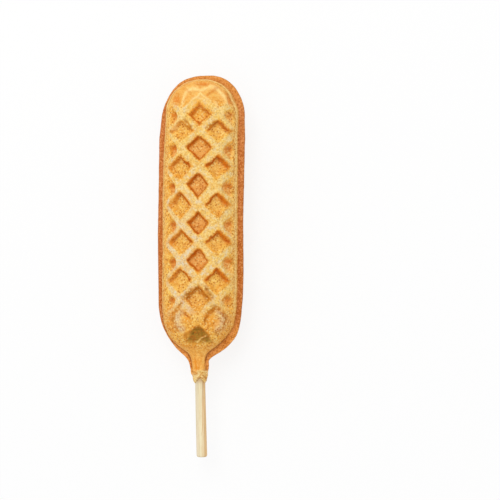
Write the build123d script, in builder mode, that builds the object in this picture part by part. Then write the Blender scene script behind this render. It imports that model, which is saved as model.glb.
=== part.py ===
"""A waffle corn dog on a stick: a sausage on a wooden stick, baked inside two fused halves of waffle batter.

The dog lies on its back as it would on a plate. +Y runs from the stick's free end to the dog's tip, +Z points out of
the front face, and the origin is under the middle of the whole length, on the surface that the dog lies on.
Sizes are in millimetres and degrees.
"""

import os

from build123d import *

# The whole dog
dog_length = 139.7  # rim at the tip to the end of the neck
dog_width = 39.0  # across the rim
half_height = 14.0  # parting plane to the flat rib tops
rim_width = 2.6  # how far the flash round the parting plane stands out
rim_half_thickness = 1.2
rim_edge_radius = 0.7
crown_flat = 5.0  # half width of the flat along the crown
bulge_share = 0.57  # how far the curve from the crown to the foot is pulled out, of its width and height

# The shoulder and neck, where the batter closes in on the stick
shoulder_start = 102.8  # from the tip
neck_half_width = 3.0
neck_height = 3.3
neck_rim_width = 0.5
# Sections down the shoulder and neck: how far along each lies, and how much of the way its sizes are from the neck's
# to the dog's
station_shares = (0.0, 0.106, 0.214, 0.322, 0.404, 0.477, 0.539, 0.591, 0.626, 0.664, 0.702, 0.743, 0.864, 1.0)
width_shares = (1.0, 0.978, 0.942, 0.878, 0.791, 0.676, 0.576, 0.446, 0.331, 0.209, 0.098, 0.043, 0.014, 0.0)
height_shares = (1.0, 0.991, 0.963, 0.897, 0.813, 0.692, 0.579, 0.449, 0.336, 0.215, 0.108, 0.056, 0.019, 0.0)
rim_shares = (1.0, 1.0, 1.0, 1.0, 1.0, 1.0, 0.95, 0.89, 0.78, 0.67, 0.56, 0.44, 0.22, 0.0)
lattice_sections = 7  # how many of those sections the waffle pattern reaches

# The waffle pattern
lattice_pitch = 17.0  # rib crossing to rib crossing
rib_width = 4.2
pocket_depth = 2.6
pocket_draft = 12
first_pocket = 16.0  # tip to the middle of the first pocket
pocket_side_depth = 1.6  # where the dome stands upright
border_width = 2.0  # plain band between the pockets and the foot
fall_share = 0.5  # how far the dome has fallen at its foot, of its height, where the pockets' walls start

# The sausage
sausage_diameter = 20.0
sausage_length = 110.0
casing_thickness = 0.25
sausage_inset = 20.2  # end of the neck to the end of the sausage

# The stick
stick_length = 140.0
stick_out = 34.3  # free length below the neck
grip_diameter = 4.7
swelling = 0.17  # how much the moist, hidden end has swollen, on the radius
swollen_out = 6.0  # how far the swollen wood shows below the neck
swelling_run = 1.5  # length of the step down to the dry wood
point_length = 7.0
point_diameter = 1.6
stick_end_chamfer = 0.35
stick_clearance = 0.05  # round the stick, in the sausage and the neck
point_clearance = 0.3  # beyond the stick's point

overrun = 1.0  # how far a cut runs past what it cuts

# Places worked out from the sizes
total_length = dog_length + stick_out
tip_y = total_length / 2
neck_end_y = tip_y - dog_length
stick_end_y = neck_end_y - stick_out
parting_z = half_height
foot_half_width = dog_width / 2 - rim_width
tip_centre_y = tip_y - dog_width / 2
shoulder_y = tip_y - shoulder_start
taper_length = shoulder_y - neck_end_y
sausage_low_y = neck_end_y + sausage_inset
sausage_radius = sausage_diameter / 2
grip_radius = grip_diameter / 2
swollen_radius = grip_radius + swelling
bore_radius = swollen_radius + stick_clearance
stick_tip_y = stick_end_y + stick_length
point_y = stick_tip_y - point_length
pocket_rows = int(shoulder_start / lattice_pitch) + 2

os.makedirs("parts", exist_ok=True)


def between(share, small, large):
    """The size that lies this share of the way from small to large."""
    return small + share * (large - small)


def across(y):
    """The plane square to the dog's length at y, with its x axis in the parting plane."""
    return Plane(origin=(0, y, parting_z), x_dir=(1, 0, 0), z_dir=(0, -1, 0))


def dome_section(plane, half_width, height, flat):
    """One half of the dog's cross-section: flat on the parting plane, flat along the crown, curved at both sides."""
    pull_x = bulge_share * (half_width - flat)
    pull_z = bulge_share * height
    with BuildSketch(plane) as section:
        with BuildLine():
            Line((-half_width, 0), (half_width, 0))
            Bezier((half_width, 0), (half_width, pull_z), (flat + pull_x, height), (flat, height))
            Line((flat, height), (-flat, height))
            Bezier((-flat, height), (-flat - pull_x, height), (-half_width, pull_z), (-half_width, 0))
        make_face()
    return section.sketch


def taper_sections(sections):
    """The place, half width and height of each section down the shoulder and the neck."""
    for station, wide, high in list(zip(station_shares, width_shares, height_shares))[:sections]:
        half_width = between(wide, neck_half_width, foot_half_width)
        yield shoulder_y - station * taper_length, half_width, between(high, neck_height, half_height)


def half_dome(side_inset, crown_inset, sections):
    """Half of the dog above the parting plane, taken in at its sides and crown, down to the last of the sections."""
    half_width = foot_half_width - side_inset
    height = half_height - crown_inset
    with BuildPart() as half:
        add(dome_section(across(tip_centre_y), half_width, height, crown_flat))
        extrude(amount=tip_centre_y - shoulder_y, dir=(0, -1, 0))
        with BuildSketch(across(tip_centre_y)):
            with BuildLine():
                pull_x = bulge_share * (half_width - crown_flat)
                Line((0, 0), (half_width, 0))
                Bezier(
                    (half_width, 0),
                    (half_width, bulge_share * height),
                    (crown_flat + pull_x, height),
                    (crown_flat, height),
                )
                Line((crown_flat, height), (0, height))
                Line((0, height), (0, 0))
            make_face()
        revolve(axis=Axis((0, tip_centre_y, 0), (0, 0, 1)), revolution_arc=180)
        for y, wide, high in taper_sections(sections):
            flat = crown_flat * wide / foot_half_width
            add(dome_section(across(y), wide - side_inset, high - crown_inset, flat))
        loft(ruled=True)
    return half.part


def outline(tip_radius, extras):
    """The dog's outline in plan, with one extra width for each section that it reaches on the shoulder and neck."""
    stations = list(taper_sections(len(extras)))
    side = [(wide + extra, y) for (y, wide, _), extra in zip(stations, extras)]
    mirrored = [(-x, y) for x, y in side]
    end_tangent = (side[-2][0] - side[-1][0], side[-1][1] - side[-2][1])
    with BuildSketch(Plane.XY.offset(parting_z)) as plan:
        with BuildLine():
            Line((tip_radius, shoulder_y), (tip_radius, tip_centre_y))
            ThreePointArc((tip_radius, tip_centre_y), (0, tip_centre_y + tip_radius), (-tip_radius, tip_centre_y))
            Line((-tip_radius, tip_centre_y), (-tip_radius, shoulder_y))
            Spline(*mirrored, tangents=((0, -1), end_tangent))
            Line(mirrored[-1], side[-1])
            Spline(*side, tangents=((0, -1), (-end_tangent[0], end_tangent[1])))
        make_face()
    return plan.sketch


def sausage_shape(radius, low_y, high_y):
    """A round-ended cylinder along the dog's axis."""
    with BuildPart() as shape:
        with BuildSketch(Plane.XY.offset(parting_z)):
            with BuildLine():
                Line((0, low_y), (0, high_y))
                RadiusArc((0, high_y), (radius, high_y - radius), radius)
                Line((radius, high_y - radius), (radius, low_y + radius))
                RadiusArc((radius, low_y + radius), (0, low_y), radius)
            make_face()
        revolve(axis=Axis((0, 0, parting_z), (0, 1, 0)))
    return shape.part


def stick_bore():
    """The space that the hidden end of the stick takes, with its clearance, out past the end of the neck."""
    with BuildPart() as bore:
        with BuildSketch(Plane.XY.offset(parting_z)):
            with BuildLine():
                Polyline(
                    (0, neck_end_y - overrun),
                    (bore_radius, neck_end_y - overrun),
                    (bore_radius, point_y),
                    (point_diameter / 2 + stick_clearance, stick_tip_y + point_clearance),
                    (0, stick_tip_y + point_clearance),
                    close=True,
                )
            make_face()
        revolve(axis=Axis((0, 0, parting_z), (0, 1, 0)))
    return bore.part


def pocket_openings(column):
    """The openings of one column of pockets, at the height where the dome's surface is there."""
    opening = lattice_pitch / 2**0.5 - rib_width
    x = column * lattice_pitch / 2
    top_y = tip_y - first_pocket + lattice_pitch / 2 * (column % 2)
    level = parting_z + half_height * (1 - fall_share * (abs(x) / foot_half_width) ** 3)
    with BuildSketch(Plane.XY.offset(level)) as openings:
        with Locations((x, top_y - (pocket_rows - 1) / 2 * lattice_pitch)):
            with GridLocations(lattice_pitch, lattice_pitch, 1, pocket_rows):
                Rectangle(opening, opening, rotation=45)
    return openings.sketch


def waffle_pockets():
    """Every pocket of the front, each a square on its corner with drafted walls and a floor that follows the dome."""
    zone = outline(foot_half_width - border_width, [-border_width] * lattice_sections)
    core = half_dome(pocket_side_depth, pocket_depth, lattice_sections + 1)
    with BuildPart() as pockets:
        for column in range(-2, 3):
            add(pocket_openings(column))
            extrude(amount=-(pocket_depth + overrun) * 2, taper=pocket_draft)
            add(pocket_openings(column))
            extrude(amount=half_height)
        add(zone)
        extrude(amount=half_height * 2, mode=Mode.INTERSECT)
        add(core, mode=Mode.SUBTRACT)
    return pockets.part


rim_extras = [between(share, neck_rim_width, rim_width) for share in rim_shares]
rim_outline = outline(dog_width / 2, rim_extras)
sausage_hull = sausage_shape(sausage_radius, sausage_low_y, sausage_low_y + sausage_length)
bore_space = stick_bore()

# The front half of the batter, which the photograph shows
with BuildPart() as front_batter:
    add(rim_outline)
    extrude(amount=rim_half_thickness)
    fillet(front_batter.faces().sort_by(Axis.Z)[-1].edges().sort_by(Axis.Y)[1:], rim_edge_radius)
    add(half_dome(0, 0, len(station_shares)))
    add(waffle_pockets(), mode=Mode.SUBTRACT)
    add(sausage_hull, mode=Mode.SUBTRACT)
    add(bore_space, mode=Mode.SUBTRACT)
front_batter.part.label = "front_batter"
export_step(front_batter.part, "parts/front_batter.step")

# The back half is baked in the same pattern, and meets the front half at the parting plane
with BuildPart() as back_batter:
    add(mirror(front_batter.part, about=Plane.XY.offset(parting_z)))
back_batter.part.label = "back_batter"
export_step(back_batter.part, "parts/back_batter.step")

# The sausage's meat, with the hole that the stick has made
meat_hull = sausage_shape(
    sausage_radius - casing_thickness,
    sausage_low_y + casing_thickness,
    sausage_low_y + sausage_length - casing_thickness,
)
with BuildPart() as sausage_meat:
    add(meat_hull)
    add(bore_space, mode=Mode.SUBTRACT)
sausage_meat.part.label = "sausage_meat"
export_step(sausage_meat.part, "parts/sausage_meat.step")

# The sausage's casing, pierced by the stick at its lower end
with BuildPart() as sausage_casing:
    add(sausage_hull)
    add(meat_hull, mode=Mode.SUBTRACT)
    add(bore_space, mode=Mode.SUBTRACT)
sausage_casing.part.label = "sausage_casing"
export_step(sausage_casing.part, "parts/sausage_casing.step")

# The round wooden stick, pointed at its hidden end
with BuildPart() as stick:
    with BuildSketch(Plane.XY.offset(parting_z)):
        with BuildLine():
            Polyline(
                (0, stick_end_y),
                (grip_radius - stick_end_chamfer, stick_end_y),
                (grip_radius, stick_end_y + stick_end_chamfer),
                (grip_radius, neck_end_y - swollen_out - swelling_run),
                (swollen_radius, neck_end_y - swollen_out),
                (swollen_radius, point_y),
                (point_diameter / 2, stick_tip_y),
                (0, stick_tip_y),
                close=True,
            )
        make_face()
    revolve(axis=Axis((0, 0, parting_z), (0, 1, 0)))
stick.part.label = "stick"
export_step(stick.part, "parts/stick.step")
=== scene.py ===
"""A waffle corn dog on a stick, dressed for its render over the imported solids.

Each half of the batter is a fine mesh that follows the mould: a dome, a lattice of ribs and pockets, and
a flash rim at the parting plane. Its shape is worked out in columns round the outline. Each column is a
section from the crown down to the rim and back under to the sausage. Sizes are in metres, written as
millimetres times MM.
"""

import math

import bmesh
import bpy
import numpy as np
from mathutils import Matrix, Vector, noise


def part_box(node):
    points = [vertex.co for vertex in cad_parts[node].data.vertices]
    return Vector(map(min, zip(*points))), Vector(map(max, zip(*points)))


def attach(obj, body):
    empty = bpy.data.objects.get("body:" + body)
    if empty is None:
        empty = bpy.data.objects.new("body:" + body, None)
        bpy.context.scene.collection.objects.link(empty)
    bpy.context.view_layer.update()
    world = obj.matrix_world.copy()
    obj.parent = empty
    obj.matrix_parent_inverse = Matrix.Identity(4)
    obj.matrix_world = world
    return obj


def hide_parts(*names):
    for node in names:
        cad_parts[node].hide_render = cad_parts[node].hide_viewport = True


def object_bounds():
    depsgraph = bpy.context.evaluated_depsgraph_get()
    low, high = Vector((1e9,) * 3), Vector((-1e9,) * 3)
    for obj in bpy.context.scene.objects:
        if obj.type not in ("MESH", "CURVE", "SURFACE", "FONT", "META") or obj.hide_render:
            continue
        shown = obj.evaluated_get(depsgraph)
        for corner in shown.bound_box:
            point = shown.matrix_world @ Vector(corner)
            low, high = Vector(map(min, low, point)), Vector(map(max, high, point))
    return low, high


MM = 0.001

# The photograph
PHOTO_WIDTH = 500
METRES_PER_PIXEL = 0.4588 * MM
DOG_AXIS_COLUMN = 200.3
NECK_END_ROW = 381.5
# How far to the right of straight above the camera stands, in degrees
CAMERA_LEAN = 6.0
LENS = 100.0

# The dog along its length, each row in millimetres above the end of the neck: half width of the dome at
# its foot, height of the dome over the parting plane, and where the rim's edge lies, left and right
SECTIONS = (
    (0.0, 2.4, 2.65, 2.6, 2.4),
    (2.0, 2.7, 3.1, 3.2, 3.1),
    (4.5, 2.8, 3.5, 4.2, 3.6),
    (7.8, 2.9, 3.8, 4.9, 4.0),
    (9.6, 3.0, 4.1, 5.55, 3.95),
    (11.5, 3.5, 4.6, 6.9, 5.8),
    (13.3, 4.5, 5.8, 8.8, 8.8),
    (15.1, 6.8, 7.3, 10.8, 11.4),
    (17.0, 9.3, 8.9, 12.4, 13.4),
    (18.8, 11.2, 10.2, 13.7, 15.0),
    (20.6, 12.7, 11.3, 14.8, 16.3),
    (22.5, 14.0, 12.1, 15.8, 17.2),
    (26.2, 15.8, 13.0, 17.45, 18.2),
    (29.8, 16.4, 13.6, 18.4, 18.8),
    (33.5, 16.8, 13.9, 19.0, 19.1),
    (40.0, 17.0, 14.0, 19.2, 19.6),
    (55.0, 17.0, 14.0, 19.45, 19.85),
    (72.0, 17.0, 14.0, 19.5, 19.7),
    (90.0, 17.0, 14.0, 19.2, 20.1),
    (105.0, 16.8, 14.0, 19.0, 20.4),
    (113.0, 16.6, 14.0, 18.75, 20.55),
    (120.2, 16.5, 14.0, 17.9, 20.4),
)
# Round the tip, from the left to the right in equal steps: how far the dome's foot and the rim's edge
# lie from the tip's centre
TIP_FOOT = (16.5, 17.6, 18.2, 18.1, 18.0, 17.0, 16.5)
TIP_EDGE = (18.9, 18.8, 20.02, 20.08, 21.12, 20.12, 19.4)
# How far the baked dog leans off its axis, in millimetres above the end of the neck
LEAN_HEIGHTS = (0.0, 4.0, 8.0, 13.0, 18.0, 24.0, 35.0, 58.0, 92.0, 109.0, 121.0, 140.0)
LEAN_SHIFTS = (0.0, -0.2, -0.6, -0.9, -1.1, -0.5, -0.25, 0.0, 0.15, 0.5, 1.0, 1.25)

# The section of a half: half the width of its level crown where the dog is widest, how full the dome's
# curve is, where 0.55 would be a quarter of an ellipse, and the height and the roundings of the rim
CROWN_FLAT = 5.0 * MM
BULGE = 0.6
RIM_TOP = 1.2 * MM
FOOT_FILLET = 0.45 * MM
RIM_ROUND = 0.8 * MM
# The most that the fillet and the rounding take of the rim's width, and its least width
FILLET_SHARE = 0.3
ROUND_SHARE = 0.4
LEAST_RIM = 0.1 * MM
# The stretch over which the batter rounds off at the neck's end
LIP = 0.9 * MM

# The stick: how far along from its free end, and its radius there, both in millimetres
STICK_STATIONS = (0.0, 0.12, 0.45, 1.0, 12.0, 34.0, 132.5, 136.0, 139.6, 140.0)
STICK_RADII = (1.85, 2.15, 2.36, 2.46, 2.42, 2.3, 2.25, 1.75, 0.85, 0.3)
STICK_LEAN = 0.75 * MM
# Flat sides: the way each faces, in degrees from straight up to the right, and how near to the axis it
# lies, as a share of the radius below
STICK_FLATS = ((62.0, 0.93), (-75.0, 0.95), (170.0, 0.92))
FLAT_RADIUS = 2.4 * MM
# How far from its pointed end the stick has no flats
POINTED_RUN = 9 * MM
# Half the width of the space round the stick in the batter
BORE_RADIUS = 2.32 * MM
# The way, in degrees from straight up to the right, at which the tan side, with its painted shade,
# starts
TAN_EDGE = 38.0

# The waffle pattern: square pockets on their corners, in columns along the dog
PITCH_ALONG = 17.0 * MM
PITCH_ACROSS = 16.8 * MM
RIB_WIDTH = 4.0 * MM
# Over how far a pocket's wall comes down, and how far the soft shoulder over it reaches either way
WALL_RUN = 1.15 * MM
SHOULDER = 0.8 * MM
# The depth on the crown, and on the dome's flanks
POCKET_DEPTH = 2.5 * MM
SIDE_DEPTH = 1.5 * MM
# The plain border at the dome's foot, and how much further the lattice reaches on the front's right
BORDER = 2.1 * MM
WIDER_RIGHT = 1.35 * MM
# The middle of the pocket nearest the tip, above the end of the neck
FIRST_POCKET = 122.9 * MM
# How far the lattice lies to the right of the dog's axis, in millimetres above the end of the neck
LATTICE_HEIGHTS = (37.9, 54.9, 63.4, 71.9, 80.4, 88.9, 97.4, 105.9, 114.4, 122.9)
LATTICE_SHIFTS = (0.5, 0.7, 0.95, 0.85, 0.9, 0.25, 0.4, 0.6, 0.4, 0.05)
# How far the outer pockets crowd towards the axis on the left, and on the right
CROWDING = (1.5 * MM, 0.0)
# How much thinner the ribs are at the lattice's sides, as a share
OUTER_THINNING = 0.35
# Where the lattice's sides start, from the axis, and over how far they come in
OUTER_FROM = 8.5 * MM
OUTER_RUN = 7 * MM
# How far the pattern wanders on the back and on the front, and over what distance
WANDERS = (0.9 * MM, 0.45 * MM)
WANDER_SIZE = 11 * MM
# Rows of pockets go down by twos from 0 at the tip. From the first to the second of these rows the
# central pocket is narrower and lies a little to the left, by the shares below
SLIM_ROWS = (-8, -4)
SLIM_SHARES = (0.1, 0.03)
# The row just above the neck, where the front is plainer
LAST_ROW = -10
# Above which height a pocket is one of the tip's, and above which the left ones have faint walls
NEAR_TIP = 114 * MM
FAINT_FROM = 109 * MM
FAINT_SHARE = 0.45
# How darkly the upper right and the upper left wall of a pocket are painted, to the left of the axis, to
# the right and on it; how darkly the lower ones are, on the axis and beside it; and half the widths of
# these lines, in millimetres. Each line is baked brown with painted shade, set by the way the wall faces
UPPER_WALLS = ((1.3, 0.95, 0.9), (0.7, 1.3, 1.1))
LOWER_WALLS = (1.2, 0.8)
LOWER_BESIDE = 0.05
UPPER_WIDTHS = ((0.55, 0.9, 0.7), (0.8, 0.58, 0.88))
LOWER_WIDTH = 0.48
# How strongly the pattern stands out, and how far it has slipped towards the neck, at heights in
# millimetres above the end of the neck
PATTERN_HEIGHTS = (15.0, 20.0, 26.0, 33.0, 37.0, 44.0, 106.0, 114.0, 122.0, 128.0, 134.0, 140.0)
PATTERN_STRENGTHS = (0.0, 0.15, 0.35, 0.5, 0.85, 1.0, 1.0, 0.85, 0.8, 0.4, 0.15, 0.0)
SLIP_HEIGHTS = (0.0, 111.0, 116.0, 122.0, 140.0)
SLIPS = (0.0, 0.0, 1.2, 1.8, 1.8)
# The dark hollow above the neck, painted shade: its base and its apex, each across from the axis and
# above the end of the neck, its half width, and the pale strand that crosses it
SPOT_BASE = (0.5, 18.4)
SPOT_APEX = (0.4, 26.4)
SPOT_HALF_WIDTH = 6.6
STRAND = ((-0.6, 18.6), (3.6, 21.3))
# Pale swirls of batter beside it: centre, radius, and which side of the circle shows
SWIRLS = ((-4.4, 28.8, 5.0, -1), (6.5, 28.6, 5.0, 1))
# Pale ridges drawn over the tip's end of the front: half width, and the points that each goes through
RIDGES = (
    (0.9, ((-5.5, 131.5), (-2.3, 133.0), (1.6, 131.8), (5.6, 133.6), (9.5, 132.4), (11.8, 129.6),
           (13.2, 126.2))),
    (0.5, ((-3.1, 126.6), (1.6, 130.6), (6.0, 126.8))),
    (0.7, ((-5.5, 131.5), (-7.2, 124.5), (-7.3, 119.8), (-11.3, 114.7))),
    (0.6, ((8.2, 126.5), (11.5, 121.3), (15.0, 115.9))),
)
# Warm hollows at the tip's sides and at its top: centre, half width and half height
HOLLOWS = ((-10.0, 128.0, 2.1, 3.4), (14.9, 128.0, 2.1, 3.0), (2.0, 135.6, 3.6, 1.2))
# Browned lines round the swirls and beside the first and last pockets: half width, and the points that
# each goes through
BROWNED = (
    (0.85, ((-6.8, 36.6), (-10.4, 32.2), (-11.1, 28.6), (-9.1, 23.7))),
    (0.8, ((-5.6, 118.6), (-3.0, 115.4))),
    (0.8, ((4.4, 115.2), (8.2, 117.8))),
    (0.85, ((3.3, 28.4), (4.9, 32.2), (8.1, 34.9), (11.3, 32.7), (12.5, 29.5), (11.6, 25.9),
            (8.9, 22.8))),
    (0.9, ((-6.3, 38.3), (-2.6, 42.8))),
    (1.1, ((3.8, 43.3), (6.5, 39.0))),
)
# An orange stripe runs down the neck
STRIPE_ACROSS = -1.3 * MM
# Brown creases in the pale ring at the neck's end: half width, and the points that each goes through
CREASES = (
    (0.35, ((-3.6, 4.9), (-2.0, 4.6))),
    (0.3, ((1.6, 5.5), (3.6, 5.3))),
    (0.35, ((-1.0, 1.8), (0.3, 2.3), (1.6, 1.8))),
    (0.45, ((1.5, 3.2), (2.2, 2.4), (3.2, 1.3))),
    (0.25, ((-2.6, 3.3), (-0.9, 4.2))),
    (0.25, ((0.2, 3.2), (1.5, 4.4))),
)
# How much of the pale frosting the ribs carry, in millimetres to the right of the axis
FROST_ACROSS = (-8.0, -4.0, 0.0, 4.0, 9.0)
FROST_SHARES = (1.45, 1.4, 0.8, 0.95, 0.6)
# The small niches at the lattice's left and right: distance from its middle, drop from its rows, half
# width and half height
NICHES = ((12.8, -1.7, 2.1, 3.9), (13.5, -2.0, 3.0, 4.8))

# The floor, the light and the finishes
FLOOR_SIZE = 4.0
FLOOR_TONE = 0.9
# How much of the white floor's look is its own light, to the camera
FLOOR_GLOW = 0.82
SURROUND_LIGHT = 0.8
LAMP_PLACE = (-0.2, 0.6, 1.05)
LAMP_SIZE = 0.7
LAMP_POWER = 5.2
WHITE = (1, 1, 1, 1)
BUMP_STRENGTH = 0.8

# Mesh
OUTLINE_STEPS = 3000
HALF_COLUMNS = 410
CROWN_POINTS = 13
DOME_POINTS = 58
FILLET_POINTS = 5
RIM_POINTS = 7
ROUND_POINTS = 6
PARTING_POINTS = 5
CAVITY_POINTS = 13
STICK_RINGS = 90
STICK_TURNS = 96
# How near to each other the points of a seam are taken as one
STICK_SEAM = 0.001 * MM
SEAM = 0.005 * MM

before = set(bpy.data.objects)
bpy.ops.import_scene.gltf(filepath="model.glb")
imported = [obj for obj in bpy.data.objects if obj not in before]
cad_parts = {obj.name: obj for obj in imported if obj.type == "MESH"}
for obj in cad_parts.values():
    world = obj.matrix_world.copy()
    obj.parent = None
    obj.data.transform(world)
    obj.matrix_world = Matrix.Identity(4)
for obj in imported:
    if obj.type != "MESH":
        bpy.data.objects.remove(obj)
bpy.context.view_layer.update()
batter_low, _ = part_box("front_batter")
stick_low, stick_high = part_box("stick")
sausage_low, sausage_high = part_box("sausage_casing")
neck_end = batter_low.y
parting = batter_low.z
sausage_radius = (sausage_high.x - sausage_low.x) / 2
stick_length = stick_high.y - stick_low.y
stick_out = neck_end - stick_low.y


def curve_through(knots, values, at):
    """A smooth curve through the given values at the given knots."""
    knots = np.asarray(knots, float)
    values = np.asarray(values, float)
    slopes = np.gradient(values, knots)
    i = np.clip(np.searchsorted(knots, at) - 1, 0, len(knots) - 2)
    gap = knots[i + 1] - knots[i]
    t = np.clip((at - knots[i]) / gap, 0, 1)
    rise = t * t * (3 - 2 * t)
    start = t * (1 - t) ** 2 * gap * slopes[i]
    end = t * t * (t - 1) * gap * slopes[i + 1]
    return values[i] * (1 - rise) + values[i + 1] * rise + start + end


def soft_step(value):
    """0 below 0, 1 above 1, and a smooth rise between."""
    t = np.clip(value, 0, 1)
    return t * t * (3 - 2 * t)


def rises(value, start, run):
    """0 below the start, 1 from the end of the run after it, and a smooth rise between. Both are in
    millimetres."""
    return soft_step((value - start * MM) / (run * MM))


def falls(value, end, run):
    """1 below the run that leads up to the end, 0 beyond the end, and a smooth fall between. Both are
    in millimetres."""
    return soft_step((end * MM - value) / (run * MM))


def hump(away, width):
    """1 where away is 0, less the further it is, and next to nothing at twice the width."""
    return np.exp(-((away / width) ** 2))


def between_heights(heights, values, up):
    """The value at a height, on straight lines through values at heights, both given in millimetres."""
    return np.interp(up, np.array(heights) * MM, np.array(values) * MM)


def lean_at(up):
    """How far the dog leans to the right."""
    return curve_through(np.array(LEAN_HEIGHTS) * MM, np.array(LEAN_SHIFTS) * MM, up)


def quarter_turn(points):
    """Angles up to a right angle, without the first."""
    return np.linspace(0, math.pi / 2, points + 1)[1:]


def lumps(points, size, seed):
    """Smooth random values from about -1 to 1, one for each point, that change over the given size."""
    offset = Vector((seed * 17.3, seed * 5.1, seed * 9.7))
    return np.array([noise.noise(Vector(p) / size + offset) for p in points])


def section_columns():
    """The columns of the outline: from the neck's end up the left, round the tip and down the right."""
    above, foot, height, left, right = (np.array(row) * MM for row in zip(*SECTIONS))
    fine = np.linspace(0, above[-1], OUTLINE_STEPS)
    fine_foot = curve_through(above, foot, fine)
    run = np.concatenate([[0], np.cumsum(np.hypot(np.diff(fine), np.diff(fine_foot)))])
    quarter = math.pi / 2 * foot[-1]
    travel = np.linspace(0, run[-1] + quarter, HALF_COLUMNS + 1)
    up = np.interp(travel, run, fine)
    turn = np.clip((travel - run[-1]) / quarter, 0, 1) * math.pi / 2
    up = np.concatenate([up, up[-2::-1]])
    turn = np.concatenate([turn, math.pi - turn[-2::-1]])
    steps = np.linspace(0, math.pi, len(TIP_FOOT))
    in_tip = (turn > 0) & (turn < math.pi)
    side = np.where(np.arange(len(up)) <= HALF_COLUMNS, 1, -1)
    edge = np.where(side > 0, curve_through(above, left, up), curve_through(above, right, up))
    edge = edge + side * lean_at(up)
    tip_foot = curve_through(steps, np.array(TIP_FOOT) * MM, turn)
    tip_edge = curve_through(steps, np.array(TIP_EDGE) * MM, turn)
    foot_here = np.where(in_tip, tip_foot, curve_through(above, foot, up))
    return {
        "up": up,
        "along": np.stack([-np.cos(turn), np.sin(turn)], 1),
        "foot": foot_here,
        "edge": np.maximum(np.where(in_tip, tip_edge, edge), foot_here + LEAST_RIM),
        "height": curve_through(above, height, up),
        "hollow": hollow_radius(up, in_tip),
    }


def hollow_radius(up, in_tip):
    """Half the width, at the parting plane, of the space that the sausage and the stick take."""
    low_centre = sausage_low.y + sausage_radius - neck_end
    below = np.clip(low_centre - up, 0, sausage_radius)
    round_end = np.sqrt(sausage_radius**2 - below**2)
    return np.where(in_tip, sausage_radius, np.maximum(round_end, BORE_RADIUS))


def section_path(columns):
    """Every column's section, as distances from the dog's axis and heights over the parting plane."""
    foot = columns["foot"][:, None]
    height = columns["height"][:, None]
    edge = columns["edge"][:, None]
    hollow = columns["hollow"][:, None]
    rim = edge - foot
    fillet = np.minimum(FOOT_FILLET, rim * FILLET_SHARE)
    rounding = np.minimum(RIM_ROUND, rim * ROUND_SHARE)
    flat = CROWN_FLAT * foot / foot.max()
    base = RIM_TOP + fillet
    # The crown, the dome, its fillet, the rim's top, its rounded edge, the parting plane, the hollow
    across = [flat * np.linspace(0, 1, CROWN_POINTS)]
    upward = [height * np.ones((1, CROWN_POINTS))]
    t = np.linspace(0, 1, DOME_POINTS + 1)[1:]
    pulled = [(1 - t) ** 3, 3 * t * (1 - t) ** 2, 3 * t * t * (1 - t), t**3]
    bulged = flat + BULGE * (foot - flat)
    across.append(flat * pulled[0] + bulged * pulled[1] + foot * (pulled[2] + pulled[3]))
    bulged = base + BULGE * (height - base)
    upward.append(height * (pulled[0] + pulled[1]) + bulged * pulled[2] + base * pulled[3])
    a = quarter_turn(FILLET_POINTS)
    across.append(foot + fillet * (1 - np.cos(a)))
    upward.append(base - fillet * np.sin(a))
    across.append(foot + fillet + (rim - fillet - rounding) * np.linspace(0, 1, RIM_POINTS + 1)[1:])
    upward.append(RIM_TOP * np.ones((1, RIM_POINTS)) * np.ones_like(foot))
    a = quarter_turn(ROUND_POINTS)
    across.append(edge - rounding * (1 - np.sin(a)))
    upward.append(RIM_TOP - rounding * (1 - np.cos(a)))
    across.append(edge + (hollow - edge) * np.linspace(0, 1, PARTING_POINTS))
    upward.append(np.zeros((1, PARTING_POINTS)) * foot)
    a = quarter_turn(CAVITY_POINTS)
    across.append(hollow * np.cos(a))
    upward.append(hollow * np.sin(a))
    across = np.concatenate([part * np.ones_like(foot) for part in across], 1)
    upward = np.concatenate([part * np.ones_like(foot) for part in upward], 1)
    reach = np.hypot(across, upward)
    wall = np.maximum(reach - hollow, 0)
    lip = np.sqrt(1 - (1 - np.clip(columns["up"][:, None] / LIP, 0.01, 1)) ** 2)
    drawn = np.where(reach > hollow, (hollow + wall * lip) / np.maximum(reach, 1e-9), 1)
    return across * drawn, upward * drawn


def grid_normals(places):
    """The outward direction at each place of a grid, and straight up where it closes to a point."""
    normal = np.cross(np.gradient(places, axis=0), np.gradient(places, axis=1))
    length = np.linalg.norm(normal, axis=2, keepdims=True)
    up = np.array([0.0, 0.0, 1.0])
    return np.where(length > 1e-12, normal / np.maximum(length, 1e-12), up)


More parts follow.
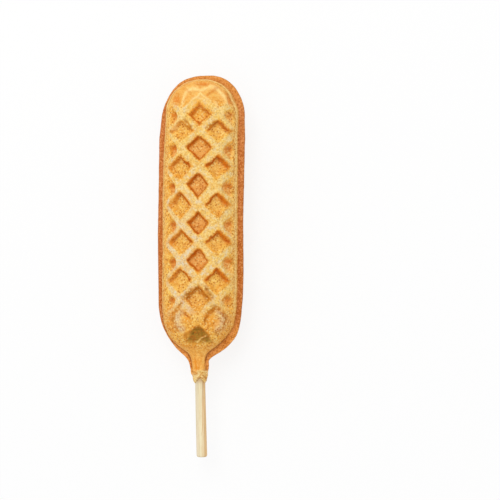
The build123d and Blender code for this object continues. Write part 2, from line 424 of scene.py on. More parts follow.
def waffle_pattern(across, above, face, seed):
    """What the waffle iron leaves at each place, with painted light and shade: how deep it lies in a
    pocket, how near to a pocket's wall and to the crest of a rib, and a tone of the pocket's own. face
    is 1 for the front, 0 for the back."""
    flat_points = np.stack([across, above, np.zeros_like(across)], 1)
    strength = np.interp(above, np.array(PATTERN_HEIGHTS) * MM, PATTERN_STRENGTHS)
    outer = np.clip((np.abs(across) - OUTER_FROM) / OUTER_RUN, 0, 1)
    crowding = np.where((across < 0) | (face == 0), CROWDING[0], CROWDING[1])
    across = across + np.sign(across) * outer * crowding
    across = across - between_heights(LATTICE_HEIGHTS, LATTICE_SHIFTS, above)
    across = across + WANDERS[face] * lumps(flat_points, WANDER_SIZE, seed)
    above = above + between_heights(SLIP_HEIGHTS, SLIPS, above) * face
    above = above + WANDERS[face] * lumps(flat_points, WANDER_SIZE, seed + 1)
    x = across / (PITCH_ACROSS / 2)
    y = (above - FIRST_POCKET) / (PITCH_ALONG / 2)
    rib_gap = PITCH_ACROSS * PITCH_ALONG / math.hypot(PITCH_ACROSS, PITCH_ALONG)
    swell = 0.6 * lumps(flat_points, 5 * MM, seed + 2) + 0.5 * lumps(flat_points, 1.9 * MM, seed + 3)
    swell = swell * MM
    run = WALL_RUN * (2.0 - strength)
    slants = [(x + y) / 2, (x - y) / 2]
    cells = [np.round(slant) for slant in slants]
    turns = [slant - cell for slant, cell in zip(slants, cells)]
    column = cells[0] + cells[1]
    beside = np.abs(column) == 1
    far = np.abs(column) >= 2
    left, right = column < 0, column > 0
    row = cells[0] - cells[1]
    slim = (column == 0) & (row >= SLIM_ROWS[0]) & (row <= SLIM_ROWS[1])
    last = (column == 0) & (row <= LAST_ROW) & (face > 0)
    turns = [turn + (SLIM_SHARES[0] * sum(turns) + SLIM_SHARES[1]) * slim for turn in turns]
    half_rib = RIB_WIDTH / 2 * (1 - OUTER_THINNING * outer * ~(right & (face > 0)))
    from_rib = [(0.5 - np.abs(turn)) * rib_gap for turn in turns]
    inside = [gap - half_rib - swell for gap in from_rib]
    # Each pocket has two walls on the tip's side, upper right and upper left, and two lower ones
    upper = [turns[0] > 0, turns[1] < 0]
    near_tip = above > NEAR_TIP
    golden = near_tip & (column == 0)
    # How far inside each wall's slope a place lies. Beside the axis the lower walls come down gently
    eased = []
    for gap, tipward in zip(inside, upper):
        shift = np.where(tipward, np.where(golden, -0.65, 0.55 * (column == 0)), -0.25 * golden)
        eased.append(gap / np.where(beside & ~tipward, 2.2, 1.0) + shift * MM)
    # A pocket's corners are rounded
    corner = np.where(golden, 1.0, 0.4) * MM
    cut = corner - np.hypot(np.maximum(corner - eased[0], 0), np.maximum(corner - eased[1], 0))
    inner = np.where(np.minimum(*eased) < corner, cut, np.minimum(*eased))
    steep = soft_step(inner / run)
    gentle = [soft_step((gap + SHOULDER) / (2 * SHOULDER)) for gap in inside]

    def by_side(leftward, rightward, central):
        return np.where(left, leftward, np.where(right, rightward, central))

    faint = np.where(left & (above > FAINT_FROM), FAINT_SHARE, 1.0)
    # Each wall's line is baked brown with painted shade, set by the way the wall faces
    browning_and_shade = [
        np.where(tipward, by_side(*tones), np.where(beside, LOWER_BESIDE, tone)) * faint
        for tipward, tones, tone in zip(upper, UPPER_WALLS, LOWER_WALLS)
    ]
    widths = [
        np.where(tipward, by_side(*values), LOWER_WIDTH) * MM
        for tipward, values in zip(upper, UPPER_WIDTHS)
    ]
    lines = [
        brown * hump(gap - 0.42 * MM, width) * rises(other, -0.2, 0.9)
        for brown, width, gap, other in zip(browning_and_shade, widths, eased, inside[::-1])
    ]
    plainer = np.where(last, np.where(upper[0] | upper[1], 0.55, 0.12), 1.0)
    wall = np.minimum(np.maximum(*lines), 1) * plainer
    # The last pocket's upper walls, baked brown with broad painted shade
    tanned_and_shaded = [hump(gap - 0.3 * MM, 1.2 * MM) * tipward * last for gap, tipward in zip(inside, upper)]
    # Painted shade: a dark spot in the outer corner of each pocket beside the axis
    outermost = np.where(left, ~upper[0] & upper[1], upper[0] & ~upper[1])
    corner_shade = hump(np.hypot(inside[0] - 0.7 * MM, inside[1] - 0.7 * MM), 1.3 * MM) * outermost * beside
    wall = np.maximum(wall, 0.75 * corner_shade)
    # Painted light: a warm glow on the ribs beside the upper walls
    glows = [
        rises(gap, -1.9, 1.4) * (gap < 0.6 * MM) * tipward * rises(other, -1.2, 2.0)
        for gap, tipward, other in zip(inside, upper, inside[::-1])
    ]
    glow = np.maximum(*glows) * (0.35 + 0.65 * (column == 0)) * ~far
    # The niches at the lattice's sides, with a dark roof at the upper end, baked brown and painted shade
    niches = NICHES if face else (NICHES[0], NICHES[0])
    niche_across, niche_drop, niche_width, niche_height = (
        np.where(left, on_left, on_right) * MM for on_left, on_right in zip(*niches)
    )
    drop = (y - row) * PITCH_ALONG / 2 - niche_drop
    reach = np.hypot((np.abs(across) - niche_across) / niche_width, drop / niche_height)
    niche = soft_step((1.15 - reach) / 0.7) * far
    roof = hump(drop - 0.45 * niche_height, 1.2 * MM) * soft_step((1.2 - reach) / 0.5) * far
    roof *= np.where(right, 0.35 + 0.65 * rises(np.abs(across) - niche_across, -1.5, 2.5), 1.0)
    # The same number all over a pocket, and another one in the next
    luck = np.abs(np.sin(cells[0] * 12.99 + cells[1] * 78.23 + seed) * 43.7) % 1
    tone = np.where(left, 0.15, 0.4) * luck + 0.5 * (column == 0) * ~near_tip * ~last
    return {
        "strength": strength,
        "pocket": np.where(far, 0.8 * niche, 0.85 * steep + 0.15 * gentle[0] * gentle[1]),
        "wall": np.where(far, 0.85 * roof, wall),
        "tanned_and_shaded": 0.7 * np.maximum(*tanned_and_shaded) * rises(np.minimum(*inside), -1.6, 1.2),
        "glow": np.maximum(glow, 0.6 * steep * golden),
        "crest": soft_step((half_rib - 0.15 * MM - np.minimum(*from_rib) + 0.6 * swell) / (0.8 * MM)),
        "tone": np.where(far, 1.0, tone),
    }


def distance_to_line(across, above, points):
    """How far each place is from the line through the given points, all in millimetres."""
    nearest = np.full_like(across, np.inf)
    for (x0, y0), (x1, y1) in zip(points, points[1:]):
        run_x, run_y = x1 - x0, y1 - y0
        along = np.clip(((across - x0) * run_x + (above - y0) * run_y) / (run_x**2 + run_y**2), 0, 1)
        nearest = np.minimum(nearest, np.hypot(across - x0 - along * run_x, above - y0 - along * run_y))
    return nearest


def baked_marks(across, above, face):
    """What the front alone shows, each from 0 to 1: the dark spot above the neck, which is painted
    shade, and the strand over it, the swirls, the browned lines, and the ridges and warm hollows at the
    tip."""
    flat_points = np.stack([across, above, np.zeros_like(across)], 1)
    across = across / MM + 0.5 * lumps(flat_points, 2.5 * MM, 31)
    above = above / MM + 0.5 * lumps(flat_points, 2.5 * MM, 32)
    (base_x, base_y), (apex_x, apex_y) = SPOT_BASE, SPOT_APEX
    rise = np.clip((above - base_y) / (apex_y - base_y), 0, 1)
    spot_edge = SPOT_HALF_WIDTH * (1 - rise) ** 0.7
    inside = spot_edge - np.abs(across - base_x - (apex_x - base_x) * rise)
    spot = soft_step((inside + 0.5) / 2.0) * soft_step((above - base_y + 1.2) / 2.6)
    spot = spot * soft_step((1 - rise) * 5)
    strand = hump(distance_to_line(across, above, STRAND), 0.35)
    swirl = np.zeros_like(across)
    for x, y, radius, way in SWIRLS:
        reach = np.hypot(across - x, above - y)
        turned = way * (across - x) / np.maximum(reach, 0.01)
        swirl = np.maximum(swirl, hump(reach - radius, 1.8) * soft_step((turned - 0.1) / 0.5))
    drawn = {}
    for mark, lines in (("browned", BROWNED), ("ridge", RIDGES)):
        near = [hump(distance_to_line(across, above, points), width) for width, points in lines]
        drawn[mark] = np.maximum.reduce(near)
    hollow = np.zeros_like(across)
    for x, y, half_width, half_height in HOLLOWS:
        reach = np.hypot((across - x) / half_width, (above - y) / half_height)
        hollow = np.maximum(hollow, soft_step(1.3 - reach))
    marks = {"spot": spot, "strand": strand, "swirl": swirl, "hollow": hollow, **drawn}
    return {mark: values * face for mark, values in marks.items()}


def grid_mesh(name, places):
    """A mesh of a grid of places, and the column and the row that each of its points comes from."""
    last_column, last_row = places.shape[0] - 1, places.shape[1] - 1
    mesh = bpy.data.meshes.new(name)
    bm = bmesh.new()
    bmesh.ops.create_grid(bm, x_segments=last_column, y_segments=last_row, size=1)
    bm.to_mesh(mesh)
    bm.free()
    grid = np.empty(len(mesh.vertices) * 3)
    mesh.vertices.foreach_get("co", grid)
    grid = grid.reshape(-1, 3)
    i = np.rint((grid[:, 0] + 1) / 2 * last_column).astype(int)
    j = np.rint((grid[:, 1] + 1) / 2 * last_row).astype(int)
    mesh.vertices.foreach_set("co", places[i, j].ravel())
    return mesh, i, j


def batter_half(name, face, seed):
    """One baked half of the batter. face is 1 for the front, 0 for the back."""
    columns = section_columns()
    across, upward = section_path(columns)
    rows = across.shape[1]
    dome_rows = CROWN_POINTS + DOME_POINTS
    rim_rows = dome_rows + FILLET_POINTS + RIM_POINTS + ROUND_POINTS
    centre = np.stack([np.zeros_like(columns["up"]), neck_end + columns["up"]], 1)
    plan = centre[:, None, :] + columns["along"][:, None, :] * across[:, :, None]
    places = np.concatenate([plan, upward[:, :, None]], 2)
    normal = grid_normals(places)
    flat_across = places[:, :, 0].ravel()
    above = (places[:, :, 1] - neck_end).ravel()
    spots = places.reshape(-1, 3)

    row = np.arange(rows)[None, :] * np.ones((len(columns["up"]), 1))
    shape = row.shape
    on_dome = (row < dome_rows).astype(float)
    inset = columns["foot"][:, None] - across
    margin = BORDER - WIDER_RIGHT * soft_step(places[:, :, 0] / (6 * MM) - 1) * face
    border = soft_step((inset - margin) / (1.0 * MM)) * on_dome
    lean = lean_at(above)
    waffle, baked = (
        {mark: values.reshape(shape) for mark, values in marks.items()}
        for marks in (
            waffle_pattern(flat_across, above, face, seed),
            baked_marks(flat_across + lean, above, face),
        )
    )
    up = above.reshape(shape)
    plain = 1 - np.maximum(baked["spot"], 0.6 * baked["swirl"])
    pocket = waffle["pocket"] * border * waffle["strength"] * plain
    fall = 1 - normal[:, :, 2]
    depth = pocket * (POCKET_DEPTH + (SIDE_DEPTH - POCKET_DEPTH) * np.clip(fall * 1.5, 0, 1))
    climb = np.clip((up / MM - SPOT_BASE[1]) / (SPOT_APEX[1] - SPOT_BASE[1]), 0, 1)
    depth += (baked["spot"] * (0.35 + 0.9 * climb) - 0.4 * baked["swirl"] - 0.35 * baked["strand"]) * MM
    depth += (0.6 * baked["hollow"] - 0.45 * baked["ridge"]) * on_dome * MM
    uneven = lumps(spots * np.array([1, 0.4, 1]), 1.8 * MM, seed + 9).reshape(shape)

    # Lumps all over, and crumples at the neck's end
    outside = row < rim_rows
    crumpled = falls(up, 7.0, 1.5)
    wobble = 0.16 * lumps(spots, 5 * MM, seed + 4) + 0.08 * lumps(spots, 1.6 * MM, seed + 5)
    crumple = 0.5 * lumps(spots * np.array([1, 1.8, 1]), 1.5 * MM, seed + 6)
    shove = (wobble.reshape(shape) + crumple.reshape(shape) * crumpled) * MM - depth
    shove[:, dome_rows:] *= 0.6
    places = places + normal * (shove * outside)[:, :, None]

    # The lean, and the torn edge at the neck's end with its pale ring, creases and warm left side
    places[:, :, 0] += lean.reshape(shape) * (row < rim_rows + 2)
    sideways = places[:, :, 0]
    torn = 0.6 * lumps(spots * np.array([1, 0, 1]), 1.6 * MM, seed + 7).reshape(shape)
    drawn_up = 2.0 - 2.4 * np.abs(sideways) / BORE_RADIUS
    places[:, :, 1] += (torn + drawn_up) * MM * np.clip(1 - up / (6.0 * MM), 0, 1) ** 2
    risen = places[:, :, 1] - neck_end
    ring = soft_step((6.4 * MM - risen + 1.2 * MM * uneven) / (1.1 * MM))
    near = [
        hump(distance_to_line(sideways / MM, risen / MM, points), width)
        for width, points in CREASES
    ]
    crease = np.maximum.reduce(near) * face
    warm = rises(-sideways, 0.8, 0.8) * rises(risen, 3.2, 1.2) * face
    if not face:
        places[:, :, 2] *= -1
    places[:, :, 2] += parting

    # What the finish reads at each point
    # Painted shade in the crease at the dome's foot, with a painted shadow line at the tip's right, and
    # a darker outer edge of the rim
    beside = hump(inset + 0.35 * MM, 0.5 * MM) * (row > dome_rows - 8) * outside
    edge = soft_step((row - rim_rows + ROUND_POINTS) / ROUND_POINTS) * outside
    low = falls(up, 46, 26)
    tip = rises(up, 124, 5)
    rightward = sideways > 0
    bare_left = 1 - 0.8 * falls(up, 64, 16) * ~rightward
    foot_line = (0.25 + 0.75 * low) * (1 - 0.35 * falls(up, 12, 4))
    foot_line = foot_line * (1 - 0.65 * rightward * rises(up, 17, 5)) + 0.35 * tip * rightward
    frosted = 0.35 + 0.65 * falls(up, 108, 45)
    frosted *= np.interp(sideways, np.array(FROST_ACROSS) * MM, FROST_SHARES)
    marks = {
        "pocket": pocket,
        # Walls and browned lines: baked brown with painted shade
        "wall": waffle["wall"] * border * plain * np.sqrt(waffle["strength"]),
        "browned": np.maximum(baked["browned"], waffle["tanned_and_shaded"]) * on_dome,
        # Painted light beside the upper walls and on the lower right flank; the tip's central pocket is
        # golden
        "glow": np.maximum(
            waffle["glow"] * border * plain * waffle["strength"],
            0.95 * low * rises(sideways, 8, 3) * on_dome,
        ),
        "crest": waffle["crest"] * rises(inset - margin, -0.5, 2.4) * on_dome
        * rises(up, 26, 12) * falls(up, 132, 8) * plain,
        "tone": waffle["tone"],
        "rim": soft_step((row - dome_rows - 1) / 3),
        # A painted highlight just inside the dome's foot, and the pale strand
        "pale": np.maximum(hump(inset - 0.3 * MM, 0.4 * MM) * on_dome * (1 - low), baked["strand"]),
        "ridge": baked["ridge"] * on_dome,
        "swirl": baked["swirl"],
        "brown": np.maximum(beside * foot_line, (0.6 + 0.25 * tip * ~rightward) * edge),
        # Painted shade of a fine groove inside the dome's foot
        "groove": hump(inset - 1.0 * MM - 0.5 * MM * uneven, 0.36 * MM) * on_dome * (1 - low),
        "tip": tip,
        "frosted": frosted,
        # A lighter band at the dome's foot, stronger on the right as painted light
        "border": soft_step((margin + 1.5 * MM - inset) / (1.5 * MM)) * on_dome
        * (1 - low) * (1 - tip) * bare_left * (1 + 0.7 * rightward),
        "hollow": baked["hollow"] * on_dome,
        "low": low,
        "rim_low": falls(up, 31, 9),
        "crease": crease,
        "warm": warm,
        "lower": falls(up, 100, 60),
        "neck": falls(up, 18.5, 6),
        "ring": ring,
        "stripe": hump(sideways - STRIPE_ACROSS, 1.5 * MM) * falls(up, 13, 4),
        "spot": baked["spot"],
        "crumb": row > rim_rows,
    }
    mesh, i, j = grid_mesh(name, places)
    for mark, values in marks.items():
        layer = mesh.attributes.new(mark, "FLOAT", "POINT")
        layer.data.foreach_set("value", values[i, j].ravel().astype(float))
    return finish_mesh(name, mesh)


def wooden_stick(name):
    """The stick: a rod turned about its axis, with a few flat sides and a lean where it is free."""
    bm = bmesh.new()
    stations = np.array(STICK_STATIONS) * MM
    rings = np.linspace(stations[3], stations[-4], STICK_RINGS)
    fine = np.unique(np.concatenate([stations, rings]))
    radii = np.interp(fine, stations, np.array(STICK_RADII) * MM)
    points = [bm.verts.new((0, stick_low.y, parting))]
    points += [bm.verts.new((r, stick_low.y + at, parting)) for at, r in zip(fine, radii)]
    points.append(bm.verts.new((0, stick_low.y + stick_length, parting)))
    lines = [bm.edges.new(pair) for pair in zip(points, points[1:])]
    axis = {"cent": (0, 0, parting), "axis": (0, 1, 0)}
    bmesh.ops.spin(bm, geom=points + lines, angle=2 * math.pi, steps=STICK_TURNS, use_merge=True, **axis)
    bmesh.ops.remove_doubles(bm, verts=bm.verts, dist=STICK_SEAM)
    names = ("tan_and_shade", "edge", "shade", "moist", "near_neck", "end")
    marks = {mark: bm.verts.layers.float.new(mark) for mark in names}
    for vert in bm.verts:
        across, up = vert.co.x, vert.co.z - parting
        at = vert.co.y - stick_low.y
        reach = math.hypot(across, up)
        turn = math.degrees(math.atan2(across, up))
        for facing, share in STICK_FLATS:
            apart = math.radians(turn - facing)
            out = math.cos(apart) * reach
            if out > share * FLAT_RADIUS and at < stick_length - POINTED_RUN:
                pressed = share * FLAT_RADIUS / out
                vert.co.x = across * (1 + (pressed - 1) * math.cos(apart))
                vert.co.z = parting + up * (1 + (pressed - 1) * math.cos(apart))
        free = max(0.0, 1 - at / stick_out)
        from_edge = turn - TAN_EDGE * (1 - 0.6 * free)
        softness = 10 + 26 * free
        # By the way that a point faces, in degrees, and how far up the stick it is
        tones = {
            # The tan side is wood colour with painted shade; the shade on the left is painted shade
            "tan_and_shade": soft_step(from_edge / softness) * soft_step((110 - from_edge) / 20),
            "edge": hump(from_edge, 7) * (1 - 0.6 * free),
            "shade": soft_step((-4 - turn) / 20) * soft_step((turn + 130) / 25),
            "moist": rises(at - stick_out, -1.5, 3),
            "near_neck": rises(at - stick_out, -12, 10),
            "end": at < 0.3 * MM,
        }
        for mark, tone in tones.items():
            vert[marks[mark]] = float(tone)
        vert.co.x += STICK_LEAN * free**1.2
    mesh = bpy.data.meshes.new(name)
    bm.to_mesh(mesh)
    bm.free()
    return finish_mesh(name, mesh)


def finish_mesh(name, mesh):
    """Closes a mesh's seams, poles and open ends, turns its faces outwards and makes it an object."""
    bm = bmesh.new()
    bm.from_mesh(mesh)
    bmesh.ops.remove_doubles(bm, verts=bm.verts, dist=SEAM)
    bmesh.ops.holes_fill(bm, edges=[edge for edge in bm.edges if edge.is_boundary], sides=0)
    bmesh.ops.recalc_face_normals(bm, faces=bm.faces)
    bm.to_mesh(mesh)
    bm.free()
    mesh.polygons.foreach_set("use_smooth", [True] * len(mesh.polygons))
    piece = bpy.data.objects.new(name, mesh)
    bpy.context.scene.collection.objects.link(piece)
    return piece


class Value:
    """A socket in a finish's nodes. Sums and products of it add the Math nodes that work them out."""

    def __init__(self, finish, socket):
        self.finish = finish
        self.socket = socket

    def math(self, operation, *terms):
        return self.finish.node("ShaderNodeMath", {"operation": operation}, dict(enumerate(terms)))

    def __add__(self, other):
        return self.math("ADD", self, other)

    def __radd__(self, other):
        return self.math("ADD", other, self)

    def __sub__(self, other):
        return self.math("SUBTRACT", self, other)

    def __rsub__(self, other):
        return self.math("SUBTRACT", other, self)

    def __mul__(self, other):
        return self.math("MULTIPLY", self, other)

    def __rmul__(self, other):
        return self.math("MULTIPLY", other, self)

    def between(self, low, high):
        """0 where this value is low, 1 where it is high, and a smooth rise between."""
        settings = {"interpolation_type": "SMOOTHSTEP"}
        inputs = {"Value": self, "From Min": low, "From Max": high}
        return self.finish.node("ShaderNodeMapRange", settings, inputs)


class Finish:
    """The nodes that paint a material, or the world."""

    def __init__(self, owner):
        owner.use_nodes = True
        self.owner = owner
        self.nodes = owner.node_tree.nodes
        self.links = owner.node_tree.links
        self.nodes.clear()

    def node(self, kind, settings=(), inputs=(), output=0):
        """Adds a node. An input is a value of another node, which is linked, or a number or a colour."""
        made = self.nodes.new(kind)
        for setting, value in dict(settings).items():
            setattr(made, setting, value)
        for socket, value in dict(inputs).items():
            if isinstance(value, Value):
                self.links.new(value.socket, made.inputs[socket])
            else:
                made.inputs[socket].default_value = value
        return Value(self, made.outputs[output])

    def place(self, scale=(1, 1, 1)):
        """The place on the piece, stretched by the given scale."""
        spot = self.node("ShaderNodeTexCoord", output="Object")
        return self.node("ShaderNodeVectorMath", {"operation": "MULTIPLY"}, {0: spot, 1: scale})

    def grain(self, place, size, detail=2.0, rough=0.5):
        """Noise between 0 and 1 that changes over the given size."""
        inputs = {"Vector": place, "Scale": 1 / size, "Detail": detail, "Roughness": rough}
        return self.node("ShaderNodeTexNoise", inputs=inputs)

    def cells(self, place, size):
        """The distance from the nearest of scattered points, in cells of the given size."""
        return self.node("ShaderNodeTexVoronoi", inputs={"Vector": place, "Scale": 1 / size})

    def mark(self, name):
        """A value that the mesh carries."""
        return self.node("ShaderNodeAttribute", {"attribute_name": name}, output="Fac")

    def mix(self, share, first, second):
        """A blend of two values or colours. A colour is its red, green and blue from 0 to 255."""
        first, second = (part if isinstance(part, Value) else colour(*part) for part in (first, second))
        settings = {"data_type": "RGBA"}
        return self.node("ShaderNodeMix", settings, {0: share, 6: first, 7: second}, output=2)

    def bump(self, height, distance):
        inputs = {"Height": height, "Distance": distance, "Strength": BUMP_STRENGTH}
        return self.node("ShaderNodeBump", inputs=inputs)

    def surface(self, paint, rough, shine, normal):
        """Ends the nodes in a plain surface, and gives back the material."""
        inputs = {
            "Base Color": paint,
            "Roughness": rough,
            "Specular IOR Level": shine,
            "Normal": normal,
        }
        return self.show(self.node("ShaderNodeBsdfPrincipled", inputs=inputs))

    def show(self, shader, output="ShaderNodeOutputMaterial"):
        """Makes a shader the one that shows, and gives back the material or world."""
        self.links.new(shader.socket, self.nodes.new(output).inputs["Surface"])
        return self.owner


def colour(red, green, blue):
    """A shader's colour for red, green and blue from 0 to 255."""
    parts = [value / 255 for value in (red, green, blue)]
    return (*[p / 12.92 if p < 0.04045 else ((p + 0.055) / 1.055) ** 2.4 for p in parts], 1)


def baked_batter():
    """Waffle batter: pale floury ribs, warm pockets with orange walls, painted light and shade, a brown
    rim, and fine brown specks all over."""
    batter = Finish(bpy.data.materials.new("baked_batter"))
    mix = batter.mix
    place = batter.place()
    marks = (
        "pocket wall glow crest tone rim pale ridge swirl brown groove low rim_low lower neck ring"
        " crease warm spot crumb tip hollow stripe frosted browned border"
    )
    at = {name: batter.mark(name) for name in marks.split()}
    cloudy = batter.grain(place, 6 * MM, 3.0, 0.55).between(0.38, 0.62)
    frost = batter.grain(place, 13 * MM, 2.0, 0.5).between(0.4, 0.58) * at["frosted"]
    blotch = batter.grain(place, 2.4 * MM, 3.0, 0.6).between(0.38, 0.66)
    flour = batter.grain(place, 1.7 * MM, 4.0, 0.7).between(0.42, 0.6)
    fine = batter.grain(place, 0.45 * MM, 2.0, 0.6)
    coarse = batter.grain(place, 0.75 * MM, 2.0, 0.6)
    thick = batter.grain(place, 3.2 * MM, 2.0, 0.5).between(0.3, 0.6)
    dark_specks = batter.cells(place, 1.05 * MM).between(0.52, 0.15) * (0.35 + 0.65 * thick)
    pale_specks = batter.cells(batter.place((1, 1.02, 0.98)), 1.25 * MM).between(0.5, 0.1)
    streaks = batter.grain(batter.place((1, 0.18, 1)), 1.3 * MM, 3.0, 0.6).between(0.42, 0.62)
    drawn = batter.grain(batter.place((0.3, 1, 1)), 1.6 * MM, 3.0, 0.6).between(0.42, 0.62)
    folds = batter.grain(batter.place((1, 2.2, 1)), 1.5 * MM, 2.0, 0.5)

    # The dome: its plain parts, pockets, ribs, painted light, walls and browned places with painted
    # shade
    plain = mix(cloudy, (246, 196, 92), (240, 172, 66))
    low = mix(cloudy, (248, 191, 88), (240, 163, 62))
    plain = mix(at["low"] * 0.85, plain, low)
    tip = mix(drawn, (234, 166, 78), (242, 188, 98))
    plain = mix(at["tip"] * 0.8, plain, tip)
    floor = mix(at["tone"], (244, 200, 98), (236, 166, 88))
    paint = mix(at["pocket"].between(0.3, 0.9), plain, floor)
    paint = mix(blotch * 0.4, paint, (230, 150, 46))
    # A lighter band at the dome's foot, with painted light on the right
    paint = mix(at["border"] * (0.3 + 0.3 * flour), paint, (255, 200, 106))
    rib = mix(at["frosted"].between(0.7, 1.3), (241, 203, 114), (233, 206, 152))
    rib = mix(flour, rib, mix(frost, (239, 209, 142), (229, 214, 182)))
    paint = mix(at["crest"] * (0.6 + 0.4 * flour), paint, rib)
    # Painted light beside the upper walls and on the lower right flank, and the golden tip pocket
    paint = mix(at["glow"] * (0.35 + 0.5 * blotch), paint, (244, 170, 44))
    paint = mix(at["low"] * streaks * 0.3, paint, (214, 142, 52))
    paint = mix(at["swirl"] * (0.6 + 0.4 * streaks), paint, (226, 201, 156))
    paint = mix(at["hollow"] * (0.75 + 0.25 * drawn), paint, (226, 136, 46))
    paint = mix(at["ridge"] * (0.6 + 0.4 * flour), paint, (254, 218, 142))
    # The walls: baked brown with painted shade
    wall = mix(blotch, (220, 116, 0), (184, 80, 0))
    paint = mix(at["wall"], paint, wall)
    # Browned lines, and the last pocket's upper walls with painted shade
    scorch_and_shade = mix(blotch, (210, 126, 12), (164, 96, 6))
    paint = mix(at["browned"] * (0.8 + 0.2 * blotch), paint, scorch_and_shade)
    # A painted highlight along the dome's foot, and the pale strand
    paint = mix(at["pale"] * (0.6 + 0.4 * flour), paint, (255, 224, 146))
    # Dashes of painted shade in a fine groove
    dashes = coarse.between(0.44, 0.54) * (0.45 + 0.55 * blotch)
    paint = mix(at["groove"] * dashes, paint, (176, 116, 30))

    # The rim
    rim = mix(blotch, (208, 130, 70), (192, 104, 44))
    rim = mix(at["lower"] * (0.5 + 0.4 * blotch), rim, (184, 96, 24))
    rim_low = mix(blotch, (255, 178, 90), (233, 146, 54))
    rim = mix(at["rim_low"] * 0.85, rim, rim_low)
    rim = mix(at["tip"] * 0.6, rim, (230, 156, 66))
    paint = mix(at["rim"], paint, rim)

    # The neck, the pale ring at its end, and the hollow above it, dark with painted shade
    neck = mix(streaks, (254, 195, 102), (243, 171, 74))
    neck = mix(at["stripe"] * (0.5 + 0.5 * streaks), neck, (234, 140, 26))
    paint = mix(at["neck"] * (1 - at["rim"]) * 0.9, paint, neck)
    # Painted shade in the crease at the dome's foot, and a darker outer edge of the rim
    paint = mix(at["brown"] * (0.65 + 0.35 * blotch), paint, (136, 62, 2))
    ring = mix(flour, (240, 204, 124), (252, 230, 166))
    ring = mix(at["warm"] * 0.85, ring, (250, 178, 88))
    ring = mix(folds.between(0.57, 0.67) * 0.55, ring, (210, 144, 56))
    ring = mix(at["crease"] * 0.85, ring, (184, 112, 30))
    paint = mix(at["ring"] * 0.9, paint, ring)
    # Painted shade in the hollow above the neck
    spot = mix(drawn * 0.6 + streaks * 0.4, (166, 118, 34), (98, 72, 2))
    paint = mix(at["spot"] * (1 - at["pale"]), paint, spot)

    # Specks, and the crumb inside
    burn = mix(at["crest"], (178, 92, 14), (190, 150, 84))
    quiet = (1 - 0.8 * at["tip"]) * (1 - 0.7 * at["neck"])
    paint = mix(dark_specks * quiet * (0.95 - 0.35 * at["crest"]), paint, burn)
    paint = mix(coarse.between(0.48, 0.66) * quiet * 0.35, paint, (206, 136, 40))
    paint = mix(at["rim"] * coarse.between(0.5, 0.34) * 0.6, paint, (240, 172, 104))
    paint = mix(at["rim"] * coarse.between(0.52, 0.66) * 0.55, paint, (150, 74, 18))
    bare = (1 - at["spot"]) * (1 - at["wall"]) * (1 - at["rim"]) * (1 - 0.7 * at["neck"])
    paint = mix(pale_specks * bare * (0.6 - 0.3 * at["tip"]), paint, (255, 226, 146))
    paint = mix(fine.between(0.54, 0.66) * (0.4 - 0.2 * at["tip"]), paint, burn)
    crumb = mix(blotch, (246, 218, 150), (238, 200, 124))
    paint = mix(at["crumb"], paint, crumb)
    height = batter.grain(place, 1.1 * MM, 3.0, 0.6) * 0.7 - dark_specks * 0.35
    height = height + batter.grain(place, 2.2 * MM) * 0.7
    return batter.surface(paint, 0.55 + blotch * 0.18, 0.16, batter.bump(height, 0.14 * MM))


def pale_wood():
    """Birch: cream with long streaks, tan with painted shade on one flat side, and darker where the dog
    has kept it moist.
    """
    wood = Finish(bpy.data.materials.new("pale_wood"))
    mix = wood.mix
    streaks = wood.grain(wood.place((1, 0.035, 1)), 0.75 * MM, 3.0, 0.6)
    fibres = wood.grain(wood.place((1, 0.05, 1)), 0.22 * MM, 2.0, 0.6)
    moist = wood.mark("moist")
    paint = mix(streaks.between(0.4, 0.62), (240, 227, 188), (226, 208, 166))
    shade = mix(streaks.between(0.35, 0.6), (234, 217, 188), (220, 207, 172))
    paint = mix(wood.mark("shade") * 0.8, paint, shade)
    # The tan flat side, with painted shade
    tans = mix(streaks.between(0.38, 0.6), (232, 192, 134), (214, 168, 108))
    paint = mix(wood.mark("tan_and_shade") * 0.9, paint, tans)
    line = mix(wood.mark("near_neck"), (222, 158, 84), (180, 128, 74))
    paint = mix(wood.mark("edge") * streaks.between(0.3, 0.55) * 0.9, paint, line)
    paint = mix(fibres.between(0.56, 0.68) * 0.35, paint, (206, 172, 120))
    stain = mix(streaks.between(0.3, 0.7), (206, 166, 108), (178, 128, 74))
    paint = mix(moist * 0.75, paint, stain)
    cut = mix(fibres.between(0.4, 0.6), (224, 196, 146), (196, 160, 110))
    paint = mix(wood.mark("end") * 0.5, paint, cut)
    height = fibres * 0.6 + streaks * 0.4
    return wood.surface(paint, 0.62 - 0.15 * moist, 0.3, wood.bump(height, 0.05 * MM))


def sausage_meat():
    """Cooked sausage inside: an even pink paste with pale flecks of fat and a few darker grains."""
    meat = Finish(bpy.data.materials.new("sausage_meat"))
    mix = meat.mix
    place = meat.place()
    cloudy = meat.grain(place, 4 * MM, 3.0, 0.6).between(0.35, 0.65)
    fat = meat.cells(place, 2.3 * MM).between(0.32, 0.12)
    pepper = meat.cells(meat.place((1, 1.3, 0.9)), 3.4 * MM).between(0.16, 0.06)
    fine = meat.grain(place, 0.4 * MM, 2.0, 0.6)
    paint = mix(cloudy, (206, 136, 112), (186, 108, 86))
    paint = mix(fat * 0.7, paint, (234, 196, 172))
    paint = mix(pepper * 0.8, paint, (110, 52, 36))
    paint = mix(fine.between(0.55, 0.68) * 0.4, paint, (164, 84, 64))
    height = fine * 0.6 + fat * 0.4
    return meat.surface(paint, 0.5 - 0.12 * fat, 0.45, meat.bump(height, 0.06 * MM))


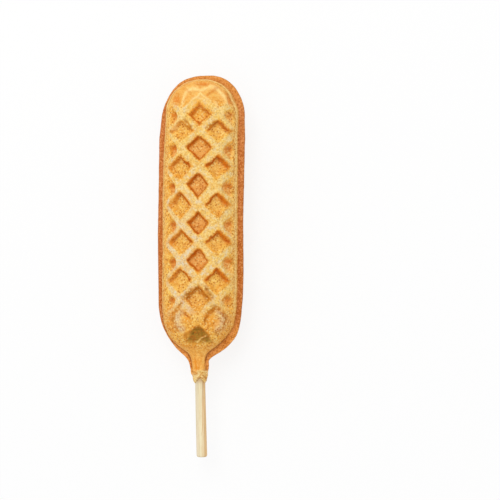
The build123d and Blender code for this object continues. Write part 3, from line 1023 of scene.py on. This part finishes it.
def sausage_casing():
    """The sausage's smoked skin: red brown, glossy, with fine wrinkles across and darker patches."""
    skin = Finish(bpy.data.materials.new("sausage_casing"))
    mix = skin.mix
    place = skin.place()
    patches = skin.grain(place, 7 * MM, 3.0, 0.6).between(0.38, 0.62)
    wrinkles = skin.grain(skin.place((0.6, 2.4, 0.6)), 1.3 * MM, 4.0, 0.65)
    fine = skin.grain(place, 0.5 * MM, 2.0, 0.6)
    paint = mix(patches, (172, 84, 54), (136, 56, 36))
    paint = mix(wrinkles.between(0.52, 0.66) * 0.5, paint, (104, 40, 26))
    paint = mix(fine.between(0.56, 0.68) * 0.3, paint, (206, 122, 80))
    height = wrinkles * 0.8 + fine * 0.2
    return skin.surface(paint, 0.3 + 0.18 * patches, 0.5, skin.bump(height, 0.09 * MM))


def area_lamp(name, place, aim, size, power):
    """A soft lamp that points at a place."""
    lamp = bpy.data.lights.new(name, "AREA")
    lamp.size = size
    lamp.energy = power
    holder = bpy.data.objects.new(name, lamp)
    holder.location = place
    holder.rotation_euler = (Vector(aim) - Vector(place)).to_track_quat("-Z", "Y").to_euler()
    bpy.context.scene.collection.objects.link(holder)


def studio(floor_height):
    """A white floor, an even white surround and one soft lamp beyond the dog's tip."""
    bpy.ops.mesh.primitive_plane_add(size=FLOOR_SIZE, location=(0, 0, floor_height))
    floor = bpy.context.object
    floor.name = "floor"
    white = Finish(bpy.data.materials.new("white_floor"))
    seen = white.node("ShaderNodeLightPath", output="Is Camera Ray")
    matt = white.node("ShaderNodeBsdfDiffuse", inputs={"Color": (FLOOR_TONE, FLOOR_TONE, FLOOR_TONE, 1)})
    glow = white.node("ShaderNodeEmission", inputs={"Color": WHITE, "Strength": 1.0})
    shown = white.node("ShaderNodeMixShader", inputs={0: seen * FLOOR_GLOW, 1: matt, 2: glow})
    floor.data.materials.append(white.show(shown))
    sky = Finish(bpy.data.worlds.new("surround"))
    seen = sky.node("ShaderNodeLightPath", output="Is Camera Ray")
    light = sky.node("ShaderNodeBackground", inputs={"Color": WHITE, "Strength": SURROUND_LIGHT})
    backdrop = sky.node("ShaderNodeBackground", inputs={"Color": WHITE, "Strength": 1.0})
    shown = sky.node("ShaderNodeMixShader", inputs={0: seen, 1: light, 2: backdrop})
    bpy.context.scene.world = sky.show(shown, "ShaderNodeOutputWorld")
    area_lamp("window", LAMP_PLACE, (0, 0, parting), LAMP_SIZE, LAMP_POWER)


def photo_camera():
    """A camera at the photograph's angle, scale and framing."""
    camera = bpy.data.cameras.new("camera")
    camera.lens = LENS
    holder = bpy.data.objects.new("camera", camera)
    bpy.context.scene.collection.objects.link(holder)
    bpy.context.scene.camera = holder
    lean = math.radians(CAMERA_LEAN)
    reach = PHOTO_WIDTH * METRES_PER_PIXEL * LENS / camera.sensor_width
    middle = Vector((0, 0, parting))
    place = middle + Vector((math.sin(lean), 0, math.cos(lean))) * reach
    right = (PHOTO_WIDTH / 2 - DOG_AXIS_COLUMN) * METRES_PER_PIXEL
    middle_row = NECK_END_ROW + (neck_end - middle.y) / METRES_PER_PIXEL
    up = (middle_row - PHOTO_WIDTH / 2) * METRES_PER_PIXEL
    aim = middle + Vector((right * math.cos(lean), up, -right * math.sin(lean)))
    toward = (aim - place).normalized()
    side = toward.cross(Vector((0, 1, 0))).normalized()
    turned = Matrix((side, side.cross(toward), -toward)).transposed()
    holder.matrix_world = Matrix.Translation(place) @ turned.to_4x4()


bpy.context.scene.view_settings.view_transform = "Standard"
photo_camera()

batter = baked_batter()
for node, face, seed in (("front_batter", 1, 1), ("back_batter", 0, 8)):
    piece = batter_half("baked_" + node, face, seed)
    piece.data.materials.append(batter)
    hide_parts(node)
    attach(piece, "dog")

stick = wooden_stick("wooden_stick")
stick.data.materials.append(pale_wood())
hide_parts("stick")
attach(stick, "stick")

for node, material in (("sausage_meat", sausage_meat()), ("sausage_casing", sausage_casing())):
    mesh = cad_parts[node].data
    mesh.materials.clear()
    mesh.materials.append(material)

low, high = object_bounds()
studio(low.z)
